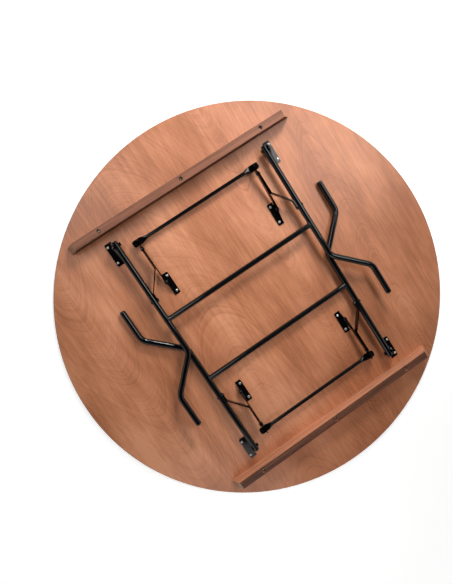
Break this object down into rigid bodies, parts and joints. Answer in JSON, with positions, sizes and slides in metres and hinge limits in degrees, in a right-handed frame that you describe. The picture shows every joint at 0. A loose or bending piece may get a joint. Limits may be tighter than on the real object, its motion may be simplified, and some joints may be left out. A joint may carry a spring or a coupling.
{
  "type": "round folding table",
  "caption": "Round plywood folding table lying face down with its steel leg frames folded against the underside between wooden stacking rails.",
  "frame": {"origin": "centre of the tabletop face, which lies on the floor", "axes": "+Z out of the underside, +X from leg frame A to leg frame B, +Y along the wooden rails"},
  "size_m": [1.5238, 1.5238, 0.0783],
  "materials": {
    "plywood": "clear satin varnish",
    "rail_wood": "clear satin varnish",
    "black_steel": "gloss black enamel",
    "screw_steel": "bright zinc",
    "black_plastic": "moulded"
  },
  "bodies": {
    "tabletop": {"tabletop_panel": "plywood", "rail_a": "rail_wood", "rail_screws_a": "screw_steel", "hinge_screws_a": "screw_steel", "brace_screws_a": "screw_steel", "hinge_bolts_a": "black_steel", "hinge_nuts_a": "black_steel", "brace_rivets_a": "black_steel", "hinge_bracket_a_left": "black_steel", "hinge_bracket_a_right": "black_steel", "brace_bracket_a_left": "black_steel", "brace_bracket_a_right": "black_steel", "rail_b": "rail_wood", "rail_screws_b": "screw_steel", "hinge_screws_b": "screw_steel", "brace_screws_b": "screw_steel", "hinge_bolts_b": "black_steel", "hinge_nuts_b": "black_steel", "brace_rivets_b": "black_steel", "hinge_bracket_b_left": "black_steel", "hinge_bracket_b_right": "black_steel", "brace_bracket_b_left": "black_steel", "brace_bracket_b_right": "black_steel"},
    "leg_a": {"cross_tube_a": "black_steel", "tube_plugs_a": "black_plastic", "feet_a": "black_plastic", "link_bolts_a": "black_steel", "leg_tube_a_left": "black_steel", "leg_tube_a_right": "black_steel"},
    "brace_a": {"lock_bar_a": "black_steel", "lock_rivets_a": "black_steel", "tab_rivets_a": "black_steel", "upper_strap_a_left": "black_steel", "upper_strap_a_right": "black_steel"},
    "link_a_left": {"lower_strap_a_left": "black_steel", "link_stud_a_left": "black_steel"},
    "link_a_right": {"lower_strap_a_right": "black_steel", "link_stud_a_right": "black_steel"},
    "leg_b": {"cross_tube_b": "black_steel", "tube_plugs_b": "black_plastic", "feet_b": "black_plastic", "link_bolts_b": "black_steel", "leg_tube_b_left": "black_steel", "leg_tube_b_right": "black_steel"},
    "brace_b": {"lock_bar_b": "black_steel", "lock_rivets_b": "black_steel", "tab_rivets_b": "black_steel", "upper_strap_b_left": "black_steel", "upper_strap_b_right": "black_steel"},
    "link_b_left": {"lower_strap_b_left": "black_steel", "link_stud_b_left": "black_steel"},
    "link_b_right": {"lower_strap_b_right": "black_steel", "link_stud_b_right": "black_steel"}
  },
  "joints": [
    {"name": "leg_a_fold", "type": "hinge", "parent": "tabletop", "child": "leg_a", "pos_m": [-0.471, 0, 0.051], "axis": [0, -1, 0], "range_deg": [0, 88.7]},
    {"name": "brace_a_swing", "type": "hinge", "parent": "tabletop", "child": "brace_a", "pos_m": [-0.265, 0, 0.032], "axis": [0, 1, 0], "range_deg": [0, 44.5]},
    {"name": "link_a_left_swing", "type": "hinge", "parent": "brace_a", "child": "link_a_left", "pos_m": [-0.41289, 0, 0.0502], "axis": [0, -1, 0], "range_deg": [0, 171.02]},
    {"name": "link_a_right_swing", "type": "hinge", "parent": "brace_a", "child": "link_a_right", "pos_m": [-0.41289, 0, 0.0502], "axis": [0, -1, 0], "range_deg": [0, 171.02]},
    {"name": "leg_b_fold", "type": "hinge", "parent": "tabletop", "child": "leg_b", "pos_m": [0.451, 0, 0.051], "axis": [0, 1, 0], "range_deg": [0, 91.65]},
    {"name": "brace_b_swing", "type": "hinge", "parent": "tabletop", "child": "brace_b", "pos_m": [0.245, 0, 0.032], "axis": [0, -1, 0], "range_deg": [0, 44.5]},
    {"name": "link_b_left_swing", "type": "hinge", "parent": "brace_b", "child": "link_b_left", "pos_m": [0.39291, 0, 0.0502], "axis": [0, 1, 0], "range_deg": [0, 174.93]},
    {"name": "link_b_right_swing", "type": "hinge", "parent": "brace_b", "child": "link_b_right", "pos_m": [0.39291, 0, 0.0502], "axis": [0, 1, 0], "range_deg": [0, 174.93]}
  ],
  "couplings": [
    {"joint": "brace_a_swing", "follows": "leg_a_fold", "ratio": 0.50155},
    {"joint": "link_a_left_swing", "follows": "leg_a_fold", "ratio": 1.9281},
    {"joint": "link_a_right_swing", "follows": "leg_a_fold", "ratio": 1.9281},
    {"joint": "brace_b_swing", "follows": "leg_b_fold", "ratio": 0.48538},
    {"joint": "link_b_left_swing", "follows": "leg_b_fold", "ratio": 1.9084},
    {"joint": "link_b_right_swing", "follows": "leg_b_fold", "ratio": 1.9084}
  ]
}
